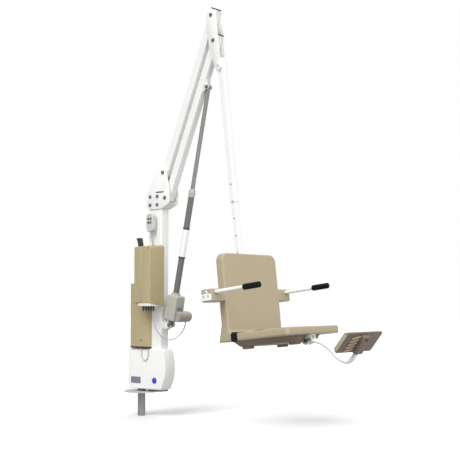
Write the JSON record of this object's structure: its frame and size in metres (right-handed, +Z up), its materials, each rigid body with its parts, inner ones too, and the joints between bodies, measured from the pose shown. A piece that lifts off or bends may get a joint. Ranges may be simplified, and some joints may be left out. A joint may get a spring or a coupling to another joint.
{
  "type": "pool patient lift",
  "caption": "Deck-mounted pool lift: turning mast with parallel arms, linear actuator and a hanging seat with armrests and footrest.",
  "frame": {"origin": "centre of the lower end face of the spigot, which stands in the deck socket; the deck surface is at z = 0.15 m", "axes": "+Z up along the spigot, +X from the spigot towards the seat, +Y to the side away from the control box"},
  "size_m": [1.8202, 0.7406, 2.5345],
  "materials": {
    "white_paint": "white powder coat, satin",
    "grey_steel": "mid grey coat",
    "bright_steel": "bare stainless",
    "dark_steel": "dark oxide",
    "bush_plastic": "moulded bearing plastic",
    "tan_plastic": "moulded, fine grain",
    "dark_tan_plastic": "moulded, fine grain",
    "white_plastic": "moulded, smooth",
    "black_plastic": "moulded",
    "grey_plastic": "moulded",
    "grip_foam": "closed-cell foam",
    "webbing": "woven nylon",
    "cable_jacket": "smooth jacket"
  },
  "bodies": {
    "base": {"anchor_spindle": "grey_steel", "deck_flange": "bright_steel", "ring_gear": "dark_steel"},
    "mast": {"mast_tube": "white_paint", "turning_hub": "grey_steel", "hub_bush": "bush_plastic", "housing_near": "white_plastic", "housing_far": "white_plastic", "motor_bracket": "grey_steel", "rotation_gearmotor": "dark_steel", "lower_cover": "tan_plastic", "cover_base": "black_plastic", "control_box": "white_plastic", "upper_cover": "tan_plastic", "handset_shell": "grey_plastic", "inner_knuckle": "white_paint", "upper_arm_pin": "dark_steel", "lower_arm_pin": "dark_steel", "foot_bracket": "white_paint", "foot_pin": "dark_steel", "motor_cable": "cable_jacket", "handset_cord": "cable_jacket", "rotation_cable": "cable_jacket"},
    "pinion": {"drive_pinion": "dark_steel"},
    "battery": {"battery_pack": "black_plastic"},
    "raise_key": {"key_raise": "black_plastic"},
    "lower_key": {"key_lower": "black_plastic"},
    "left_key": {"key_left": "black_plastic"},
    "right_key": {"key_right": "black_plastic"},
    "upper_arm": {"upper_arm_tube": "white_paint", "upper_arm_plug": "black_plastic"},
    "lower_arm": {"lower_arm_tube": "white_paint", "lower_arm_plug": "black_plastic", "actuator_lugs": "white_paint", "rod_pin": "dark_steel"},
    "seat": {"post_sleeve": "white_paint", "post_inner": "white_paint", "outer_plate_near": "white_paint", "outer_plate_far": "white_paint", "upper_post_pin": "dark_steel", "lower_post_pin": "dark_steel", "seat_shell": "tan_plastic", "seat_tray": "dark_tan_plastic", "armrest_mount_near": "white_paint", "armrest_mount_far": "white_paint", "footrest_bracket": "white_paint", "footrest_bolt": "dark_steel", "lap_belt": "webbing"},
    "near_armrest": {"armrest_near": "white_paint", "armrest_grip_near": "grip_foam"},
    "far_armrest": {"armrest_far": "white_paint", "armrest_grip_far": "grip_foam"},
    "footrest": {"footrest_panel": "dark_tan_plastic", "footrest_tube": "white_paint"},
    "footrest_lock": {"pull_pin": "dark_steel"},
    "actuator_body": {"actuator_housing": "grey_plastic", "actuator_motor": "grey_plastic", "actuator_tube": "grey_steel", "actuator_gland": "grey_plastic"},
    "actuator_ram": {"actuator_rod": "grey_steel"}
  },
  "joints": [
    {"name": "mast_rotation", "type": "hinge", "parent": "base", "child": "mast", "pos_m": [0, 0, 0.15], "axis": [0, 0, 1], "range_deg": [-180, 180]},
    {"name": "pinion_spin", "type": "hinge", "parent": "mast", "child": "pinion", "pos_m": [0.054, 0, 0.36], "axis": [0, 0, 1], "range_deg": [-360, 360]},
    {"name": "arm_lift", "type": "hinge", "parent": "mast", "child": "upper_arm", "pos_m": [0.21926, 0, 1.53892], "axis": [0, 1, 0], "range_deg": [0, 66], "deforming": ["motor_cable"]},
    {"name": "lower_arm_link", "type": "hinge", "parent": "mast", "child": "lower_arm", "pos_m": [0.238, 0, 1.377], "axis": [0, 1, 0], "range_deg": [0, 66]},
    {"name": "post_level", "type": "hinge", "parent": "upper_arm", "child": "seat", "pos_m": [0.61201, 0, 2.48244], "axis": [0, 1, 0], "range_deg": [-66, 0]},
    {"name": "actuator_tilt", "type": "hinge", "parent": "mast", "child": "actuator_body", "pos_m": [0.258, 0, 0.578], "axis": [0, 1, 0], "range_deg": [0, 32]},
    {"name": "rod_tilt", "type": "hinge", "parent": "lower_arm", "child": "actuator_ram", "pos_m": [0.56608, 0, 2.04415], "axis": [0, 1, 0], "range_deg": [-37, 0]},
    {"name": "near_armrest_flip", "type": "hinge", "parent": "seat", "child": "near_armrest", "pos_m": [0.86889, -0.326, 0.77565], "axis": [0, -1, 0], "range_deg": [0, 88]},
    {"name": "far_armrest_flip", "type": "hinge", "parent": "seat", "child": "far_armrest", "pos_m": [0.86889, 0.326, 0.77565], "axis": [0, -1, 0], "range_deg": [0, 88]},
    {"name": "footrest_fold", "type": "hinge", "parent": "seat", "child": "footrest", "pos_m": [1.30699, 0, 0.50421], "axis": [0, 1, 0], "range_deg": [0, 85]},
    {"name": "footrest_pin_pull", "type": "slide", "parent": "seat", "child": "footrest_lock", "axis": [0, -1, 0], "range_m": [0, 0.012], "stiffness_N_per_m": 400},
    {"name": "battery_lift_out", "type": "slide", "parent": "mast", "child": "battery", "axis": [0, 0, 1], "range_m": [0, 0.3]},
    {"name": "key_raise_press", "type": "slide", "parent": "mast", "child": "raise_key", "axis": [0, 1, 0], "range_m": [0, 0.0012], "stiffness_N_per_m": 600},
    {"name": "key_lower_press", "type": "slide", "parent": "mast", "child": "lower_key", "axis": [0, 1, 0], "range_m": [0, 0.0012], "stiffness_N_per_m": 600},
    {"name": "key_left_press", "type": "slide", "parent": "mast", "child": "left_key", "axis": [0, 1, 0], "range_m": [0, 0.0012], "stiffness_N_per_m": 600},
    {"name": "key_right_press", "type": "slide", "parent": "mast", "child": "right_key", "axis": [0, 1, 0], "range_m": [0, 0.0012], "stiffness_N_per_m": 600}
  ],
  "couplings": [
    {"joint": "pinion_spin", "follows": "mast_rotation", "ratio": 2},
    {"joint": "lower_arm_link", "follows": "arm_lift", "ratio": 1},
    {"joint": "post_level", "follows": "arm_lift", "ratio": -1},
    {"joint": "actuator_tilt", "follows": "arm_lift", "ratio": 0.476},
    {"joint": "rod_tilt", "follows": "arm_lift", "ratio": -0.524}
  ]
}
